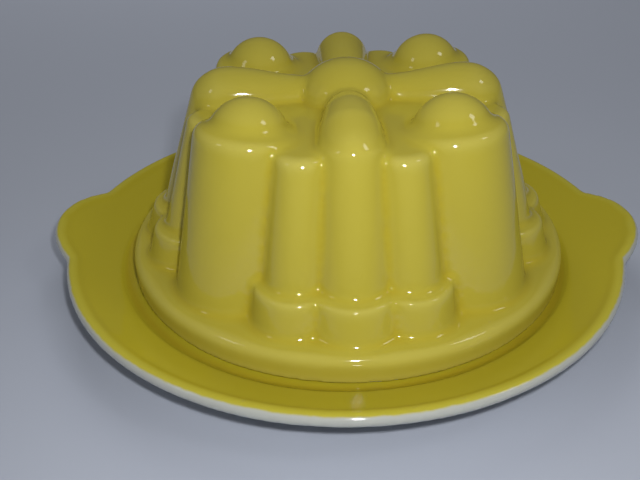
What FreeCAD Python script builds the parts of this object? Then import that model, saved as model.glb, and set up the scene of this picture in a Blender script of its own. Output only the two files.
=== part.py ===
import FreeCAD, Part
import math
import os

# A glazed earthenware pudding mould standing open side down in the well of its own lugged under-plate.
# Millimetres, +Z up. The origin is the middle of the plate's foot, on the table. The lugs lie along X.

# The mould, in heights above its own rim
WALL = 5.0                   # thickness of the clay all over
DRUM_RADIUS = 101.2          # the round band at the mould's mouth
TERRACE_HEIGHT = 12.0        # top of that band
DRUM_ROUND = 4.0             # rounding of the band's upper edge
DECK_HEIGHT = 76.1           # the flat top between the columns
DECK_ROUND = 3.5             # rounding of the slender columns' upper edge

# Columns lean in as they rise: each pair holds the value at the terrace and at the deck
CORNER_AXIS = (47.2, 40.0)   # along X and along Y
CORNER_RADIUS = (26.9, 21.5)
FLANK_ASIDE = (23.0, 18.8)   # from the middle of a side
FLANK_AXIS = (72.0, 55.2)    # from the middle of the mould
FLANK_RADIUS = (13.6, 11.1)
CENTRE_AXIS = (74.3, 55.2)
CENTRE_RADIUS = (15.9, 13.0)

# The three-lobed plinth at the foot of each side
PLINTH_WIDTH = 4.4           # how far it stands out past the columns
PLINTH_HEIGHT = 26.5
PLINTH_ROUND = 1.8

# The crown: domes on the corners, and ridges that run from each side to a knob in the middle
SHOULDER_HEIGHT = 79.0       # the rounded shoulder of a corner column, halfway round its tilted ring
SHOULDER_ROUND = 4.5
DOME_RADIUS = 16.6
DOME_HEIGHT = 90.5
DOME_HOLLOW = 5.0            # hollow curve between a dome and its column's shoulder
RIDGE_OUTER_HEIGHT = 88.0    # top of a ridge's round end, above a centre column
RIDGE_INNER_AXIS = 18.0      # middle of a ridge's narrow end, from the middle of the mould
RIDGE_INNER_RADIUS = 8.6
RIDGE_INNER_HEIGHT = 85.5
KNOB_RADIUS = 20.0
KNOB_HEIGHT = 93.0
KNOB_WAIST = 79.0            # the height at which the knob is widest
KNOB_ROUND = 9.0             # radius of the knob's side above its waist, in section

# The plate, in heights above the table
PLATE_RADIUS = 129.2         # middle to the round edge
LUG_OUT = 9.4                # how far a lug stands out past the round edge
LUG_RADIUS = 44.0            # the curve of a lug's outer edge
LUG_ROOT = 14.0              # hollow curve where a lug's edge runs into the round edge
EDGE_THICKNESS = 6.0         # thickness of the sloping rim, measured upright
EDGE_ROUND = 2.4             # rounding of the edge, above and below
LIP_WIDTH = 5.6              # the slightly raised lip that follows the edge
LIP_HEIGHT = 0.5             # how far the lip stands above the rim inside it
RIM_SLOPE = 0.45             # rise of the rim for each millimetre outward
WELL_HEIGHT = 7.5            # the floor of the well in which the mould stands
WELL_CLEARANCE = 2.6         # room between the mould's band and the well's wall
WELL_THICKNESS = 5.0         # thickness of the well's floor
STEP_WIDTH = 2.2             # the slanting step from the well up to the rim
STEP_HEIGHT = 2.5
FOOT_RADIUS = 93.0           # outside of the foot ring
FOOT_WIDTH = 6.0             # width of the foot ring on the table
FOOT_FLARE = 4.0             # how far the underside stands out past the foot at the floor's underside

# How the mould lies in the well
MOULD_TURN = 2.4             # degrees that it is turned
MOULD_SLIDE = 0.75           # how far it has slid to one side, as a share of its clearance
MOULD_SLIDE_TURN = 37.0      # the way that it has slid, in degrees from +X

UP = FreeCAD.Vector(0, 0, 1)
MIDDLE = FreeCAD.Vector(0, 0, 0)
OVER = 1.0                   # how far a cutting or joining solid runs past the face that it meets
SIDES = 4


def vec(x, y, z=0.0):
    return FreeCAD.Vector(x, y, z)


def around(far, degrees, height=0.0):
    """The point at a distance and a direction from the Z axis."""
    return vec(far * math.cos(math.radians(degrees)), far * math.sin(math.radians(degrees)), height)


def edge_loop(points):
    """Straight edges through points given as radius and height, in the XZ plane."""
    return [Part.makeLine(vec(a[0], 0, a[1]), vec(b[0], 0, b[1])) for a, b in zip(points, points[1:])]


def revolved(edges):
    """The solid that a closed outline of radius and height makes about the Z axis."""
    return Part.Face(Part.Wire(edges)).revolve(MIDDLE, UP, 360)


def fillet_edges(solid, radius, wanted):
    return solid.makeFillet(radius, [edge for edge in solid.Edges if wanted(edge)])


def flat_at(height):
    """A test for edges that lie flat at one height."""
    def wanted(edge):
        box = edge.BoundBox
        return abs(box.ZMin - height) < 1e-4 and abs(box.ZMax - height) < 1e-4
    return wanted


def round_outside(edge):
    """A test for edges that run round the plate's outline, not up its side."""
    parameter = (edge.FirstParameter + edge.LastParameter) / 2
    place, way = edge.valueAt(parameter), edge.tangentAt(parameter)
    return math.hypot(place.x, place.y) > PLATE_RADIUS - OVER and abs(way.z) < math.sqrt(0.5)


def circle_point(middle, radius, toward):
    """The point of a circle that lies on the side of another point."""
    return middle + (toward - middle).normalize() * radius


def circle_arc(middle, radius, start, end):
    """The shorter arc of a circle between two of its points."""
    return Part.Arc(start, circle_point(middle, radius, (start + end) / 2), end).toShape()


def tangent_outline(circles):
    """A closed outline of arcs on circles, given as middle and radius, that each touch the next."""
    joints = []
    for (a, a_radius), (b, b_radius) in zip(circles, circles[1:] + circles[:1]):
        large, radius, small = (a, a_radius, b) if a_radius > b_radius else (b, b_radius, a)
        joints.append(circle_point(large, radius, small))
    starts = joints[-1:] + joints[:-1]
    return Part.Wire([circle_arc(*circle, start, end) for circle, start, end in zip(circles, starts, joints)])


# The plate
def plate_outline(inset, top):
    """The plate's plan, drawn in by an inset, as an upright solid from the table to a height."""
    lug_far, root_far = PLATE_RADIUS + LUG_OUT - LUG_RADIUS, PLATE_RADIUS + LUG_ROOT
    apart = LUG_RADIUS + LUG_ROOT
    root_cosine = (lug_far ** 2 + root_far ** 2 - apart ** 2) / (2 * lug_far * root_far)
    root_turn = math.degrees(math.acos(root_cosine))
    circles = []
    for turn in (0, 180):
        circles += [
            (around(root_far, turn - root_turn), LUG_ROOT + inset),
            (around(lug_far, turn), LUG_RADIUS - inset),
            (around(root_far, turn + root_turn), LUG_ROOT + inset),
            (MIDDLE, PLATE_RADIUS - inset)]
    return Part.Face(tangent_outline(circles)).extrude(UP * top)


def make_plate():
    step_inside = DRUM_RADIUS + WELL_CLEARANCE
    step_outside = step_inside + STEP_WIDTH
    far = PLATE_RADIUS + LUG_OUT + OVER

    def rim(radius):
        return WELL_HEIGHT + STEP_HEIGHT + RIM_SLOPE * (radius - step_outside)

    def lip(radius):
        return rim(radius) + LIP_HEIGHT

    def under(radius):
        return lip(radius) - EDGE_THICKNESS

    above = lip(far) + OVER
    foot_top = WELL_HEIGHT - WELL_THICKNESS
    foot_inside = FOOT_RADIUS - FOOT_WIDTH
    blank = revolved(edge_loop([
        (0, foot_top), (foot_inside - foot_top, foot_top), (foot_inside, 0), (FOOT_RADIUS, 0),
        (FOOT_RADIUS + FOOT_FLARE, foot_top), (step_outside, under(step_outside)), (far, under(far)),
        (far, lip(far)), (step_outside, lip(step_outside)), (0, lip(step_outside)), (0, foot_top)]))
    blank = fillet_edges(blank.common(plate_outline(0, above)), EDGE_ROUND, round_outside)
    dish = revolved(edge_loop([
        (0, WELL_HEIGHT), (step_inside, WELL_HEIGHT), (step_outside, rim(step_outside)), (far, rim(far)),
        (far, above), (0, above), (0, WELL_HEIGHT)]))
    return blank.cut(dish.common(plate_outline(LIP_WIDTH, above)))


# The mould's parts, each drawn in by an inset, so that the same form makes the outside and the hollow
def at_height(pair, height):
    """The value that a column has at a height, from its values at the terrace and at the deck."""
    share = (height - TERRACE_HEIGHT) / (DECK_HEIGHT - TERRACE_HEIGHT)
    return pair[0] + (pair[1] - pair[0]) * share


def post(aside, axis, radius, wider, bottom, top, rounding):
    """A leaning round post with a flat top and a rounded edge. It stands aside along X and out along -Y."""
    room = max(radius) + wider
    ends, radii = [], []
    for height in (bottom - room, top + room):
        ends.append(vec(at_height(aside, height), -at_height(axis, height), height))
        radii.append(at_height(radius, height) + wider)
    lean = ends[1] - ends[0]
    cone = Part.makeCone(*radii, lean.Length, ends[0], lean)
    layer = Part.makeCylinder(2 * DRUM_RADIUS, top - bottom, vec(0, 0, bottom))
    return fillet_edges(cone.common(layer), rounding, flat_at(top))


def bar(start, start_radius, end, end_radius, ball_start):
    """A round taper that ends in a ball, and starts in one or is cut off blunt there."""
    length = (end - start).Length
    sine = (start_radius - end_radius) / length
    cosine = math.sqrt(1 - sine ** 2)
    first = vec(start_radius * cosine, 0, start_radius * sine)
    last = vec(end_radius * cosine, 0, length + end_radius * sine)
    far_middle = vec(0, 0, length)
    tip = vec(0, 0, length + end_radius)
    heel = vec(0, 0, -start_radius) if ball_start else vec(0, 0, first.z)
    opening = circle_arc(MIDDLE, start_radius, heel, first) if ball_start else Part.makeLine(heel, first)
    solid = revolved([opening, Part.makeLine(first, last), circle_arc(far_middle, end_radius, last, tip),
                      Part.makeLine(tip, heel)])
    solid.Placement = FreeCAD.Placement(start, FreeCAD.Rotation(UP, end - start))
    return solid


def meeting_point(a, a_far, b, b_far):
    """The point over two others, in the XZ plane, that lies at a distance from each."""
    way = b - a
    along = (way.Length ** 2 + a_far ** 2 - b_far ** 2) / (2 * way.Length)
    way.normalize()
    return a + way * along + vec(-way.z, 0, way.x) * math.sqrt(a_far ** 2 - along ** 2)


def corner_column(inset, bottom):
    """A corner column with its domed head, turned as one form about the column's leaning axis."""
    dome_middle = DOME_HEIGHT - DOME_RADIUS
    low, high = [vec(at_height(CORNER_AXIS, height), -at_height(CORNER_AXIS, height), height)
                 for height in (bottom, dome_middle)]
    length = (high - low).Length
    narrowing = at_height(CORNER_RADIUS, bottom) - at_height(CORNER_RADIUS, dome_middle)
    slant = math.atan(narrowing / length)
    outward = vec(math.cos(slant), 0, math.sin(slant))
    side = at_height(CORNER_RADIUS, dome_middle) * outward.x

    def on_side(depth, height):
        """The point at a depth under the column's side, and at a height from the dome's middle."""
        return vec((side - depth - height * outward.z) / outward.x, 0, height)

    dome_radius, hollow = DOME_RADIUS - inset, DOME_HOLLOW + inset
    shoulder = on_side(inset + SHOULDER_ROUND, SHOULDER_HEIGHT - inset - SHOULDER_ROUND - dome_middle)
    nest = meeting_point(MIDDLE, dome_radius + hollow, shoulder, SHOULDER_ROUND + hollow)
    foot, rim, side_end = vec(0, 0, -length), on_side(inset, -length), shoulder + outward * SHOULDER_ROUND
    shoulder_end = circle_point(shoulder, SHOULDER_ROUND, nest)
    dome_end, tip = circle_point(MIDDLE, dome_radius, nest), vec(0, 0, dome_radius)
    column = revolved([
        Part.makeLine(foot, rim), Part.makeLine(rim, side_end),
        circle_arc(shoulder, SHOULDER_ROUND, side_end, shoulder_end),
        circle_arc(nest, hollow, shoulder_end, dome_end), circle_arc(MIDDLE, dome_radius, dome_end, tip),
        Part.makeLine(tip, foot)])
    column.Placement = FreeCAD.Placement(high, FreeCAD.Rotation(UP, high - low))
    return column


def crown_knob(inset):
    """The knob in the middle of the crown: a wide round top on a tighter round side."""
    aside, rise = KNOB_RADIUS - KNOB_ROUND, KNOB_HEIGHT - KNOB_WAIST
    top_radius = (aside ** 2 + rise ** 2 - KNOB_ROUND ** 2) / (2 * (rise - KNOB_ROUND))
    side_middle, top_middle = vec(aside, 0, KNOB_WAIST), vec(0, 0, KNOB_HEIGHT - top_radius)
    touch = circle_point(top_middle, top_radius - inset, side_middle)
    waist, top = vec(KNOB_RADIUS - inset, 0, KNOB_WAIST), vec(0, 0, KNOB_HEIGHT - inset)
    low = DECK_HEIGHT - inset - OVER
    rim, under = vec(waist.x, 0, low), vec(0, 0, low)
    return revolved([
        Part.makeLine(under, rim), Part.makeLine(rim, waist),
        circle_arc(side_middle, KNOB_ROUND - inset, waist, touch),
        circle_arc(top_middle, top_radius - inset, touch, top), Part.makeLine(top, under)])


def side_solids(inset, bottom):
    """What one side of the mould is made of, with the corner on its right."""
    deck, ledge = DECK_HEIGHT - inset, PLINTH_HEIGHT - inset
    wider = PLINTH_WIDTH - inset
    foot = vec(0, -at_height(CENTRE_AXIS, bottom), bottom)
    head_height, head_radius = RIDGE_OUTER_HEIGHT - CENTRE_RADIUS[1], CENTRE_RADIUS[1] - inset
    tail_height, tail_radius = RIDGE_INNER_HEIGHT - RIDGE_INNER_RADIUS, RIDGE_INNER_RADIUS - inset
    head = vec(0, -at_height(CENTRE_AXIS, head_height), head_height)
    tail = vec(0, -RIDGE_INNER_AXIS, tail_height)
    solids = [
        corner_column(inset, bottom),
        bar(foot, at_height(CENTRE_RADIUS, bottom) - inset, head, head_radius, False),
        bar(head, head_radius, tail, tail_radius, True),
        post((0, 0), CENTRE_AXIS, CENTRE_RADIUS, wider, bottom, ledge, PLINTH_ROUND)]
    for hand in (-1, 1):
        aside = [hand * value for value in FLANK_ASIDE]
        solids.append(post(aside, FLANK_AXIS, FLANK_RADIUS, -inset, bottom, deck, DECK_ROUND))
        solids.append(post(aside, FLANK_AXIS, FLANK_RADIUS, wider, bottom, ledge, PLINTH_ROUND))
    return solids


def core(inset, bottom):
    """The block behind the columns, with its upright edges on their axes."""
    rings = []
    for height in (bottom, DECK_HEIGHT - inset):
        aside, flank = at_height(FLANK_ASIDE, height), at_height(FLANK_AXIS, height)
        corner, centre = at_height(CORNER_AXIS, height), at_height(CENTRE_AXIS, height)
        points = []
        for side in range(SIDES):
            turn = FreeCAD.Rotation(UP, 360 / SIDES * side)
            points += [turn.multVec(vec(x, -y, height))
                       for x, y in ((-aside, flank), (0, centre), (aside, flank), (corner, corner))]
        rings.append(Part.makePolygon(points + points[:1]))
    return Part.makeLoft(rings, True, True)


def mould_form(inset, mouth):
    """The mould as one solid without a hollow, drawn in by an inset, from its mouth up."""
    radius, terrace = DRUM_RADIUS - inset, TERRACE_HEIGHT - inset
    drum = Part.makeCylinder(radius, terrace - mouth, vec(0, 0, mouth))
    drum = fillet_edges(drum, DRUM_ROUND, flat_at(terrace))
    bottom = (mouth + terrace) / 2
    solids = [core(inset, bottom), crown_knob(inset)]
    for solid in side_solids(inset, bottom):
        for side in range(SIDES):
            copy = solid.copy()
            copy.rotate(MIDDLE, UP, 360 / SIDES * side)
            solids.append(copy)
    return drum.fuse(solids).removeSplitter()


def make_mould():
    mould = mould_form(0, 0).cut(mould_form(WALL, -OVER))
    mould.rotate(MIDDLE, UP, MOULD_TURN)
    mould.translate(around(MOULD_SLIDE * WELL_CLEARANCE, MOULD_SLIDE_TURN, WELL_HEIGHT))
    return mould


os.makedirs("parts", exist_ok=True)
for name, shape in (("plate", make_plate()), ("mould", make_mould())):
    print(name, shape.isValid(), len(shape.Solids), round(shape.Volume), "mm3")
    shape.exportStep("parts/" + name + ".step")
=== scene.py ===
import logging
import math
from collections import deque
from dataclasses import dataclass
from enum import Enum

import bpy
import numpy as np
from mathutils import Euler, Matrix, Vector


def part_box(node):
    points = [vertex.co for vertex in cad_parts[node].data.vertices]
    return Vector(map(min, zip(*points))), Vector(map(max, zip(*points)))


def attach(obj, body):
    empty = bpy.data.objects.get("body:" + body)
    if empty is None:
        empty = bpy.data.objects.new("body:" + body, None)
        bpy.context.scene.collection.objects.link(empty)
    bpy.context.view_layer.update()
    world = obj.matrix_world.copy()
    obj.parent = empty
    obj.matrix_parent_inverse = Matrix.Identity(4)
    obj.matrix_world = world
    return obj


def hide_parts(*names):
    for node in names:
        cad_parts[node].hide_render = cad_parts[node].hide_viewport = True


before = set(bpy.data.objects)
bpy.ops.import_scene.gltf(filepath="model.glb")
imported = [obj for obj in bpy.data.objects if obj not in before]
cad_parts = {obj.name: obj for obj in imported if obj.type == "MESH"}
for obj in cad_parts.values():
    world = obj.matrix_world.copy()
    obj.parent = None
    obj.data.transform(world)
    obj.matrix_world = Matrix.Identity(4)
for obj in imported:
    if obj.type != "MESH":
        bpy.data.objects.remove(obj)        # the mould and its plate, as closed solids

# A lemon-yellow glazed pottery mould, upturned in the well of its plate. Metres, in the solids' own frame.

LOG = logging.getLogger("pudding_mould")
MM = 0.001
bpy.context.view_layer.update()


class Glaze(Enum):
    """The glaze colours on the two pieces, as sRGB hex values. The colours for edges and folds also hold
    painted highlight and painted shade.
    """

    LEMON = "#B9AC3E"         # the even coat on flat and gently curved clay
    LEMON_THIN = "#C3B857"    # where it has run off an edge and the pale clay shows through; the paler yellow is also a painted highlight on the edge
    LEMON_POOLED = "#B6A52E"  # where it has run thick into a fold; the deeper yellow is also painted shade in the fold
    DEEP = "#B4A729"          # the plate's coat, a little thicker than the mould's
    DEEP_THIN = "#BCB23E"     # the plate's coat over an edge, paler also as a painted highlight
    DEEP_POOLED = "#A18A1C"   # and in a fold, darker also as painted shade
    WHITE = "#B6B8B0"         # the clear glaze on bare white clay, on the plate's edge and underneath
    WHITE_POOLED = "#A8AAA2"  # the clear glaze in a fold, darker there as painted shade


class Surround(Enum):
    """The colours of what stands round the pieces."""

    FLOOR = "#B0B6C4"
    SKY = "#FFFFFF"


def linear(colour: Enum) -> tuple[float, float, float, float]:
    """Turns a named sRGB colour into the linear values that a shader takes.

    Args:
        colour: a member whose value is a hex string such as "#B9AC3E".

    Returns:
        Red, green, blue and an alpha of 1.
    """
    text = colour.value.lstrip("#")
    shares = [int(text[i:i + 2], 16) / 255 for i in (0, 2, 4)]
    curve = [s / 12.92 if s <= 0.04045 else ((s + 0.055) / 1.055) ** 2.4 for s in shares]
    return (*curve, 1.0)


def add_node(tree: bpy.types.NodeTree, kind: str, inputs: dict = None, links: dict = None,
             **settings: object) -> bpy.types.Node:
    """Adds one shader node.

    Args:
        tree: the material's node tree.
        kind: the node's type, without its ShaderNode prefix.
        inputs: socket names or numbers, with the values that they take.
        links: socket names or numbers, with the output sockets that feed them.
        **settings: the node's own properties.

    Returns:
        The new node.
    """
    node = tree.nodes.new("ShaderNode" + kind)
    for name, value in settings.items():
        setattr(node, name, value)
    for socket, value in (inputs or {}).items():
        node.inputs[socket].default_value = value
    for socket, source in (links or {}).items():
        tree.links.new(source, node.inputs[socket])
    return node


def select_only(piece: bpy.types.Object) -> None:
    """Deselects everything and makes one piece the selected and active one."""
    bpy.ops.object.select_all(action="DESELECT")
    piece.select_set(True)
    bpy.context.view_layer.objects.active = piece


def apply_modifier(piece: bpy.types.Object, kind: str, **settings: object) -> None:
    """Adds a modifier to the active piece, sets it and applies it.

    Args:
        piece: the piece, which is made the active one.
        kind: the modifier's type.
        **settings: the modifier's properties.
    """
    select_only(piece)
    modifier = piece.modifiers.new(kind.title(), kind)
    for name, value in settings.items():
        setattr(modifier, name, value)
    bpy.ops.object.modifier_apply(modifier=modifier.name)


@dataclass
class Pottery:
    """A slip-cast, glazed piece that stands for one of the solids, its folds and edges softened by glaze."""

    node: str
    name: str
    slot: str
    grain: float = 1.2 * MM          # spacing of the points on its surface
    merge_within: float = 0.002 * MM # points of the solid that are the same one
    soften: int = 4                  # passes that round the folds and the edges
    soften_share: float = 0.5        # how far each of them goes
    wave_height: float = 0.28 * MM   # how far the cast surface wanders
    wave_width: float = 38 * MM
    pool_reach: int = 16             # passes that find how deep a fold is
    pool_depth: float = 0.55 * MM    # how deep a fold must be to count as full, for the glaze's fill and for the painted shade in it
    pool_spread: int = 6             # passes that let the painted shade in folds and the painted highlight on edges, partly glaze, fade out at their borders
    pool_fill: float = 0.7           # share of how deep a fold is that the glaze fills

    def build(self) -> bpy.types.Object:
        """Makes the piece's mesh from a merged copy of its solid.

        Returns:
            The finished piece, riding on the part's only body.
        """
        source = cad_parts[self.node]
        piece = bpy.data.objects.new(self.name, source.data.copy())
        bpy.context.collection.objects.link(piece)
        piece.data.materials.clear()
        select_only(piece)
        bpy.ops.object.mode_set(mode="EDIT")
        bpy.ops.mesh.select_all(action="SELECT")
        bpy.ops.mesh.remove_doubles(threshold=self.merge_within)
        bpy.ops.object.mode_set(mode="OBJECT")
        apply_modifier(piece, "REMESH", mode="VOXEL", voxel_size=self.grain, use_smooth_shade=True)
        apply_modifier(piece, "SMOOTH", factor=self.soften_share, iterations=self.soften)
        self.shape(piece)
        wave = bpy.data.textures.new(self.name + "_wave", "CLOUDS")
        wave.noise_scale = self.wave_width
        wave.noise_depth = 1
        apply_modifier(piece, "DISPLACE", texture=wave, texture_coords="GLOBAL", direction="NORMAL",
                       strength=self.wave_height, mid_level=0.5)
        bpy.data.textures.remove(wave)
        self.fill_folds(piece)
        self.mark_white(piece)
        self.finish_mesh(piece)
        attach(piece, "root")
        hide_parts(self.node)
        LOG.info("%s: %d faces", piece.name, len(piece.data.polygons))
        return piece

    def shape(self, piece: bpy.types.Object) -> None:
        """Gives the piece the curves that its solid leaves straight. Most pieces need none."""

    def points(self, mesh: bpy.types.Mesh) -> tuple[np.ndarray, np.ndarray]:
        """Reads a mesh's points and their normals, each as rows of three numbers."""
        places = np.empty(len(mesh.vertices) * 3, np.float32)
        normals = np.empty_like(places)
        mesh.vertices.foreach_get("co", places)
        mesh.vertex_normals.foreach_get("vector", normals)
        return places.reshape(-1, 3).astype(float), normals.reshape(-1, 3).astype(float)

    def move(self, mesh: bpy.types.Mesh, places: np.ndarray) -> None:
        """Puts a mesh's points at new places."""
        mesh.vertices.foreach_set("co", places.astype(np.float32).ravel())
        mesh.update()

    def fill_folds(self, piece: bpy.types.Object) -> None:
        """Lets glaze fill the folds, and writes how full each point's fold is: below 0 it lies on an edge.
        The material paints this as deeper yellow with painted shade in folds and paler yellow with painted
        highlight on edges.
        """
        mesh = piece.data
        places, normals = self.points(mesh)
        edges = np.empty(len(mesh.edges) * 2, np.int32)
        mesh.edges.foreach_get("vertices", edges)
        edges = edges.reshape(-1, 2)
        even = self.evened(places, edges, self.pool_reach)
        share = np.clip(((even - places) * normals).sum(1) / self.pool_depth, -1, 1)
        filled = np.minimum(2 * np.maximum(share, 0), 1) * self.pool_fill
        self.move(mesh, places + (even - places) * filled[:, None])
        # The mark drives the colour: deeper yellow in folds, partly glaze gathered thick and partly painted
        # shade; paler yellow over edges, partly glaze run off and partly painted highlight.
        self.write(mesh, "pool_and_painted_light", self.evened(share[:, None], edges, self.pool_spread)[:, 0])

    def evened(self, values: np.ndarray, edges: np.ndarray, passes: int) -> np.ndarray:
        """Evens values out over a mesh.

        Args:
            values: one row for each point.
            edges: the two points of each edge.
            passes: how many times each point goes halfway to the mean of its neighbours.

        Returns:
            The evened values, in rows as they came.
        """
        first, second = edges.T
        count = np.bincount(edges.ravel(), minlength=len(values))
        even = values.astype(float)
        for _ in range(passes):
            for column in even.T:
                total = (np.bincount(first, column[second], len(column))
                         + np.bincount(second, column[first], len(column)))
                column[:] = (column + total / count) / 2
        return even

    def finish_mesh(self, piece: bpy.types.Object) -> None:
        """Does what the mesh still needs once its points are marked. Most pieces need nothing."""

    def write(self, mesh: bpy.types.Mesh, name: str, values: np.ndarray) -> None:
        """Stores one number for each point of a mesh, under a name that a material can read."""
        attribute = mesh.attributes.new(name, "FLOAT", "POINT")
        attribute.data.foreach_set("value", values.astype(np.float32))

    def mark_white(self, piece: bpy.types.Object) -> None:
        """Writes where the piece is white, as 1, and where it is yellow, as 0."""
        raise NotImplementedError


@dataclass(frozen=True)
class Bow:
    """How one ridge's back and sides bow, where the solid's are straight.

    Each hump is its height, then its start, crest and end in millimetres from the middle.
    """

    lifts: tuple     # humps of the back, in millimetres
    swell: tuple     # the hump of the sides, as a share of their distance from the ridge's line


@dataclass
class Mould(Pottery):
    """The mould, open side down."""

    node: str = "mould"
    name: str = "glazed_mould"
    slot: str = "mould_glaze"
    mouth_height: float = 0.6 * MM   # height above the mouth's edge at which the yellow ends
    hollow_faces: float = 0.66       # share of all the faces that stays when the plain hollow is thinned
    middle: tuple = (1.56 * MM, 1.17 * MM)   # where it stands in the well
    turn: float = 2.4                        # degrees that it is turned
    deck_height: float = 83.6 * MM           # the flat top between the columns, above the table
    crown_rise: float = 7.0 * MM             # height over which the crown's curves fade in
    ridge_width: float = 17.0 * MM           # half of the strip that holds a ridge
    ridge_blend: float = 4.0 * MM            # width over which the ridge's curves fade out beside it
    side_bow: Bow = Bow(((1.7, 24, 48, 64),), (0.13, 14, 50, 68))
    front_bow: Bow = Bow(((1.7, 10, 34, 58), (-2.6, 46, 60, 74)), (0.08, 8, 36, 62))   # ends like a bullet
    back_bow: Bow = Bow(((0.2, 24, 48, 64),), (0.05, 14, 36, 62))
    knob_sink: float = 0.8 * MM              # how far the knob lies lower
    knob_sink_reach: tuple = (12 * MM, 36 * MM)

    def shape(self, piece: bpy.types.Object) -> None:
        """Gives the four ridges their bowed backs and sides, and sinks the knob between them a little."""
        mesh = piece.data
        places, _ = self.points(mesh)
        angle = math.radians(self.turn)
        ways = np.array(((math.cos(angle), math.sin(angle)), (-math.sin(angle), math.cos(angle))))
        along = (places[:, :2] - self.middle) @ ways.T
        far, aside = np.abs(along).max(1), np.abs(along).min(1)
        across = np.abs(along[:, 0]) > np.abs(along[:, 1])
        over_deck = (places[:, 2] - self.deck_height) / self.crown_rise
        beside = self.eased((self.ridge_width - aside) / self.ridge_blend)
        inner, outer = self.knob_sink_reach
        lift = -self.knob_sink * self.eased((outer - far) / (outer - inner))
        swell = np.zeros(len(places))
        for bow, mine in ((self.side_bow, across), (self.front_bow, ~across & (along[:, 1] < 0)),
                          (self.back_bow, ~across & (along[:, 1] >= 0))):
            lift[mine] += MM * sum(self.hump(far[mine], *hump) for hump in bow.lifts)
            swell[mine] = self.hump(far[mine], *bow.swell)
        swell *= beside * self.eased(over_deck + 1)
        along[np.arange(len(along)), np.abs(along).argmin(1)] *= 1 + swell
        places[:, :2] = along @ ways + self.middle
        places[:, 2] += lift * beside * self.eased(over_deck)
        self.move(mesh, places)

    def eased(self, share: np.ndarray) -> np.ndarray:
        """Turns a straight rise from 0 to 1 into a smooth one."""
        share = np.clip(share, 0, 1)
        return share * share * (3 - 2 * share)

    def hump(self, far: np.ndarray, height: float, start: float, crest: float, end: float) -> np.ndarray:
        """A smooth hump along a ridge.

        Args:
            far: distances from the middle, in metres.
            height: the hump's value at its crest.
            start: where it starts, in millimetres from the middle, as are the next two.
            crest: where it is highest.
            end: where it ends.

        Returns:
            Its value at each distance, 0 outside it.
        """
        place = far / MM
        away = np.where(place < crest, (crest - place) / (crest - start), (place - crest) / (end - crest))
        return height * np.cos(math.pi / 2 * np.clip(away, 0, 1)) ** 2

    def mark_white(self, piece: bpy.types.Object) -> None:
        """The hollow is white: all that can't be reached over the surface from the crown."""
        mesh = piece.data
        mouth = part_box(self.node)[0].z + self.mouth_height
        neighbours = [[] for _ in mesh.vertices]
        for edge in mesh.edges:
            a, b = edge.vertices
            neighbours[a].append(b)
            neighbours[b].append(a)
        heights = [vertex.co.z for vertex in mesh.vertices]
        start = heights.index(max(heights))
        white = np.ones(len(heights))
        white[start] = 0
        queue = deque([start])
        while queue:
            for other in neighbours[queue.popleft()]:
                if white[other] and heights[other] > mouth:
                    white[other] = 0
                    queue.append(other)
        self.write(mesh, "white", white)

    def finish_mesh(self, piece: bpy.types.Object) -> None:
        """Thins the faces of the hollow, which is smooth and turned away."""
        mesh = piece.data
        white = np.empty(len(mesh.vertices), np.float32)
        mesh.attributes["white"].data.foreach_get("value", white)
        hollow = piece.vertex_groups.new(name="hollow")
        hollow.add(np.flatnonzero(white > 0.5).tolist(), 1.0, "REPLACE")
        apply_modifier(piece, "DECIMATE", ratio=self.hollow_faces, vertex_group=hollow.name)
        piece.vertex_groups.clear()
        piece.data.polygons.foreach_set("use_smooth", [True] * len(piece.data.polygons))


@dataclass
class Plate(Pottery):
    """The round plate with its two lugs."""

    node: str = "plate"
    name: str = "glazed_plate"
    slot: str = "plate_glaze"
    grain: float = 1.25 * MM
    lug_curve: float = 44 * MM       # radius of a lug's outer edge
    pool_fill: float = 0.4
    yellow_inset: float = 1.3 * MM   # how far inside the outline the yellow glaze ends
    fade: float = 4.0 * MM           # width of the marks from white to yellow; the glaze shows their middle

    def mark_white(self, piece: bpy.types.Object) -> None:
        """The edge and all that faces down are white."""
        mesh = piece.data
        _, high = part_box(self.node)
        places, normals = self.points(mesh)
        x, y, _ = places.T
        lug_middle = high.x - self.lug_curve
        inside = np.maximum(high.y - np.hypot(x, y), self.lug_curve - np.hypot(np.abs(x) - lug_middle, y))
        inside = np.where(normals[:, 2] < 0, -np.abs(inside), inside)
        self.write(mesh, "white", np.clip(0.5 + (self.yellow_inset - inside) / self.fade, 0, 1))


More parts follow.
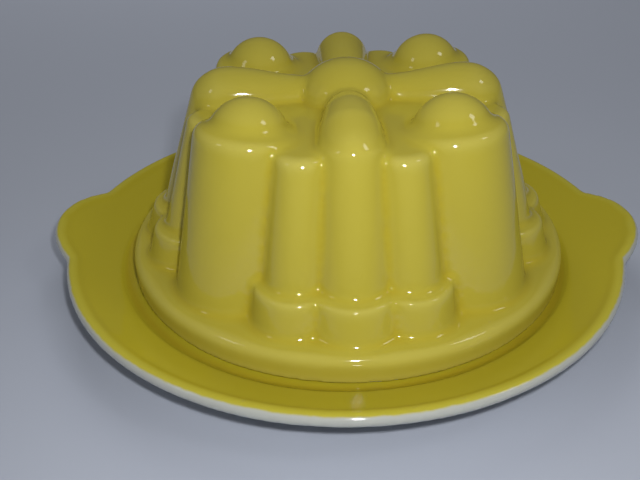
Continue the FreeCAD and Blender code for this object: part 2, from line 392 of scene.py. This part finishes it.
@dataclass(frozen=True)
class EarthenwareGlaze:
    """Lead-free gloss glaze on slip-cast white earthenware.

    It is a skin of glass, so it gives sharp small highlights over a soft, slightly uneven yellow. The yellow
    is deeper in a fold, where the glaze has gathered thick and painted shade is added, and paler over an
    edge, where the glaze has run off and a painted highlight is added.
    """

    name: str
    yellows: tuple                   # the coat over an edge, with painted highlight; the even coat; the coat in a fold, with painted shade
    roughness: float = 0.07
    index: float = 1.52              # lead-free earthenware glaze
    mottle_width: float = 9 * MM     # cloudiness from the dipping
    mottle: float = 0.10
    even_shares: tuple = (0.42, 0.62)        # marks between which the yellow is even; below them it pales with painted highlight, above them it deepens with painted shade
    clear_share: float = 0.6                 # mark up to which the white is even; above it, in folds, it darkens with painted shade
    ragged_width: float = 4 * MM             # the unsteady line where the yellow was wiped off
    ragged: float = 0.2
    border_shares: tuple = (0.46, 0.72)      # marks of white between which the yellow gives way to it
    ripple_width: float = 6 * MM             # the slight unevenness that bends a highlight
    ripple_strength: float = 0.10
    ripple_height: float = 0.3 * MM
    pinhole_spacing: float = 5 * MM          # tiny pits, a little coarser than real so that they show
    pinhole_share: float = 0.07              # a pit's radius, as a share of their spacing
    pinhole_strength: float = 0.25
    pinhole_depth: float = 0.05 * MM

    def material(self) -> bpy.types.Material:
        """Builds the material.

        Returns:
            The new material, which reads the points' fold marks (painted shade and painted highlight, partly
            glaze) and white values, and Object coordinates.
        """
        material = bpy.data.materials.new(self.name)
        material.use_nodes = True
        tree = material.node_tree
        tree.nodes.clear()
        place = add_node(tree, "TexCoord").outputs["Object"]
        pool_and_painted_light = add_node(tree, "Attribute", attribute_name="pool_and_painted_light").outputs["Fac"]
        white = add_node(tree, "Attribute", attribute_name="white").outputs["Fac"]
        mottle = add_node(tree, "TexNoise",
                          {"Scale": 1 / self.mottle_width, "Detail": 3.0, "Roughness": 0.55},
                          {"Vector": place}).outputs["Fac"]
        # Coat and painted light: deeper yellow in folds is gathered glaze with painted shade; paler yellow
        # over edges is run-off glaze with painted highlight.
        coat_and_painted_light = add_node(tree, "Math", {1: self.mottle}, {0: mottle, 2: pool_and_painted_light},
                         operation="MULTIPLY_ADD").outputs[0]
        lemon = add_node(tree, "ValToRGB", links={"Fac": self.share(tree, coat_and_painted_light)})
        thin_and_highlit, even, pooled_and_shaded = self.yellows
        even_from, even_to = self.even_shares
        # The ramp paints the highlight on edges at its low end and the shade in folds at its high end.
        self.ramp(lemon, ((0.0, thin_and_highlit), (even_from, even), (even_to, even), (1.0, pooled_and_shaded)))
        clear = add_node(tree, "ValToRGB", links={"Fac": self.share(tree, coat_and_painted_light)})
        # The white darkens in folds with painted shade.
        self.ramp(clear, ((0.0, Glaze.WHITE), (self.clear_share, Glaze.WHITE), (1.0, Glaze.WHITE_POOLED)))
        edge_noise = add_node(tree, "TexNoise", {"Scale": 1 / self.ragged_width, "Detail": 2.0},
                              {"Vector": place}).outputs["Fac"]
        ragged = add_node(tree, "Math", {1: self.ragged}, {0: edge_noise, 2: white},
                          operation="MULTIPLY_ADD").outputs[0]
        border_from, border_to = self.border_shares
        border = add_node(tree, "MapRange", {"From Min": border_from, "From Max": border_to},
                          {"Value": ragged}, interpolation_type="SMOOTHSTEP").outputs["Result"]
        colour = add_node(tree, "Mix", data_type="RGBA",
                          links={"Factor": border, "A": lemon.outputs["Color"], "B": clear.outputs["Color"]})
        ripple = add_node(tree, "TexNoise", {"Scale": 1 / self.ripple_width, "Detail": 1.0},
                          {"Vector": place})
        bend = add_node(tree, "Bump", {"Strength": self.ripple_strength, "Distance": self.ripple_height},
                        {"Height": ripple.outputs["Fac"]})
        cells = add_node(tree, "TexVoronoi", {"Scale": 1 / self.pinhole_spacing, "Randomness": 1.0},
                         {"Vector": place})
        pit = add_node(tree, "MapRange", {"From Min": 0.0, "From Max": self.pinhole_share},
                       {"Value": cells.outputs["Distance"]})
        pitted = add_node(tree, "Bump", {"Strength": self.pinhole_strength, "Distance": self.pinhole_depth},
                          {"Height": pit.outputs["Result"], "Normal": bend.outputs["Normal"]})
        shader = add_node(tree, "BsdfPrincipled", {"Roughness": self.roughness, "IOR": self.index},
                          {"Base Color": colour.outputs["Result"], "Normal": pitted.outputs["Normal"]})
        add_node(tree, "OutputMaterial", links={"Surface": shader.outputs["BSDF"]})
        return material

    def share(self, tree: bpy.types.NodeTree, coat_and_painted_light: bpy.types.NodeSocket) -> bpy.types.NodeSocket:
        """Turns a fold mark from -1 to 1, which holds painted shade and painted highlight, into a share from
        0 to 1.
        """
        return add_node(tree, "MapRange", {"From Min": -1.0, "From Max": 1.0},
                        {"Value": coat_and_painted_light}).outputs["Result"]

    def ramp(self, node: bpy.types.Node, stops: tuple) -> None:
        """Sets a colour ramp's stops, given as places from 0 to 1 and named colours."""
        elements = node.color_ramp.elements
        while len(elements) > 1:
            elements.remove(elements[-1])
        elements[0].position, elements[0].color = stops[0][0], linear(stops[0][1])
        for position, colour in stops[1:]:
            elements.new(position).color = linear(colour)


@dataclass
class Studio:
    """A pale floor, soft light from above, a small lamp beside the camera and the photograph's view."""

    camera_place: tuple = (1.39 * MM, -299.43 * MM, 195.41 * MM)
    camera_turn: tuple = (58.165, 0.994, 1.783)    # degrees about X, Y and Z
    lens: float = 40.22                            # millimetres, as the next one
    sensor_width: float = 36.0
    floor_size: float = 6.0
    floor_roughness: float = 0.9
    sky_strength: float = 0.10
    sky_in_glaze: float = 0.06                     # the darker room that the glaze mirrors
    softbox_size: float = 0.9
    softboxes: tuple = (                           # soft light that the glaze doesn't mirror: place and watts
        ((0.3, 0.1, 1.3), 0.7), ((0.0, -1.1, 0.75), 0.9), ((1.3, 0.1, 0.5), 0.9), ((-1.3, 0.1, 0.5), 1.0),
        ((-0.2, 1.15, 0.9), 6.0))
    window_size: float = 0.24
    windows: tuple = (                             # small lamps that give the glaze its side lights
        ("window_right", (0.84, -0.16, 1.04), 0.8), ("window_left", (-0.94, -0.47, 0.91), 0.4))
    flash_size: float = 0.018
    flash_power: float = 0.56
    flash_offset: tuple = (0.022, 0.032, 0.0)      # from the lens, to its right and upwards
    aim: tuple = (0, 0, 0.05)                      # what every lamp faces

    def build(self) -> None:
        """Makes the floor, the lamps, the sky and the camera."""
        self.floor()
        self.sky()
        for place, power in self.softboxes:
            self.lamp("softbox", place, self.softbox_size, power).visible_glossy = False
        for name, place, power in self.windows:
            self.lamp(name, place, self.window_size, power)
        beside_lens = self.camera().matrix_world @ Vector(self.flash_offset)
        self.lamp("flash", tuple(beside_lens), self.flash_size, self.flash_power)

    def floor(self) -> None:
        """Lays the floor under the plate's foot: matt bluish-white paint, which takes the soft shadows."""
        bpy.ops.object.select_all(action="DESELECT")
        bpy.ops.mesh.primitive_plane_add(size=self.floor_size, location=(0, 0, 0))
        floor = bpy.context.object
        floor.name = "floor"
        material = bpy.data.materials.new("matt_painted_table")
        material.use_nodes = True
        tree = material.node_tree
        tree.nodes.clear()
        shader = add_node(tree, "BsdfPrincipled",
                          {"Base Color": linear(Surround.FLOOR), "Roughness": self.floor_roughness})
        add_node(tree, "OutputMaterial", links={"Surface": shader.outputs["BSDF"]})
        floor.data.materials.append(material)

    def sky(self) -> None:
        """Sets an even white sky, which the glaze mirrors a little darker than it lights."""
        world = bpy.data.worlds.new("sky")
        world.use_nodes = True
        tree = world.node_tree
        tree.nodes.clear()
        mirrored = add_node(tree, "LightPath").outputs["Is Glossy Ray"]
        strength = add_node(tree, "MapRange", {"To Min": self.sky_strength, "To Max": self.sky_in_glaze},
                            {"Value": mirrored}).outputs["Result"]
        light = add_node(tree, "Background", {"Color": linear(Surround.SKY)}, {"Strength": strength})
        add_node(tree, "OutputWorld", links={"Surface": light.outputs["Background"]})
        bpy.context.scene.world = world

    def lamp(self, name: str, place: tuple, size: float, power: float) -> bpy.types.Object:
        """Adds a square lamp that faces the object.

        Args:
            name: the lamp's name.
            place: where it stands, in metres.
            size: the length of its side, in metres.
            power: its power, in watts.

        Returns:
            The new lamp.
        """
        data = bpy.data.lights.new(name, "AREA")
        data.size, data.energy = size, power
        lamp = bpy.data.objects.new(name, data)
        bpy.context.collection.objects.link(lamp)
        way = Vector(self.aim) - Vector(place)
        lamp.matrix_world = Matrix.Translation(place) @ way.to_track_quat("-Z", "Y").to_matrix().to_4x4()
        return lamp

    def camera(self) -> bpy.types.Object:
        """Adds the camera.

        Returns:
            The camera, which is made the scene's own.
        """
        data = bpy.data.cameras.new("camera")
        data.sensor_width, data.lens = self.sensor_width, self.lens
        camera = bpy.data.objects.new("camera", data)
        bpy.context.collection.objects.link(camera)
        turn = Euler([math.radians(angle) for angle in self.camera_turn])
        camera.matrix_world = Matrix.Translation(self.camera_place) @ turn.to_matrix().to_4x4()
        bpy.context.scene.camera = camera
        return camera


def main() -> None:
    """Builds the pieces, their finish and the studio."""
    logging.basicConfig(level=logging.INFO, format="%(message)s")
    bpy.context.scene.view_settings.view_transform = "Standard"
    lemon = EarthenwareGlaze("lemon_gloss_glazed_earthenware",
                             (Glaze.LEMON_THIN, Glaze.LEMON, Glaze.LEMON_POOLED))
    deep = EarthenwareGlaze("deep_lemon_gloss_glazed_earthenware",
                            (Glaze.DEEP_THIN, Glaze.DEEP, Glaze.DEEP_POOLED))
    for pottery, glaze in ((Mould(), lemon), (Plate(), deep)):
        pottery.build().data.materials.append(glaze.material())
    Studio().build()


if __name__ == "__main__":
    main()
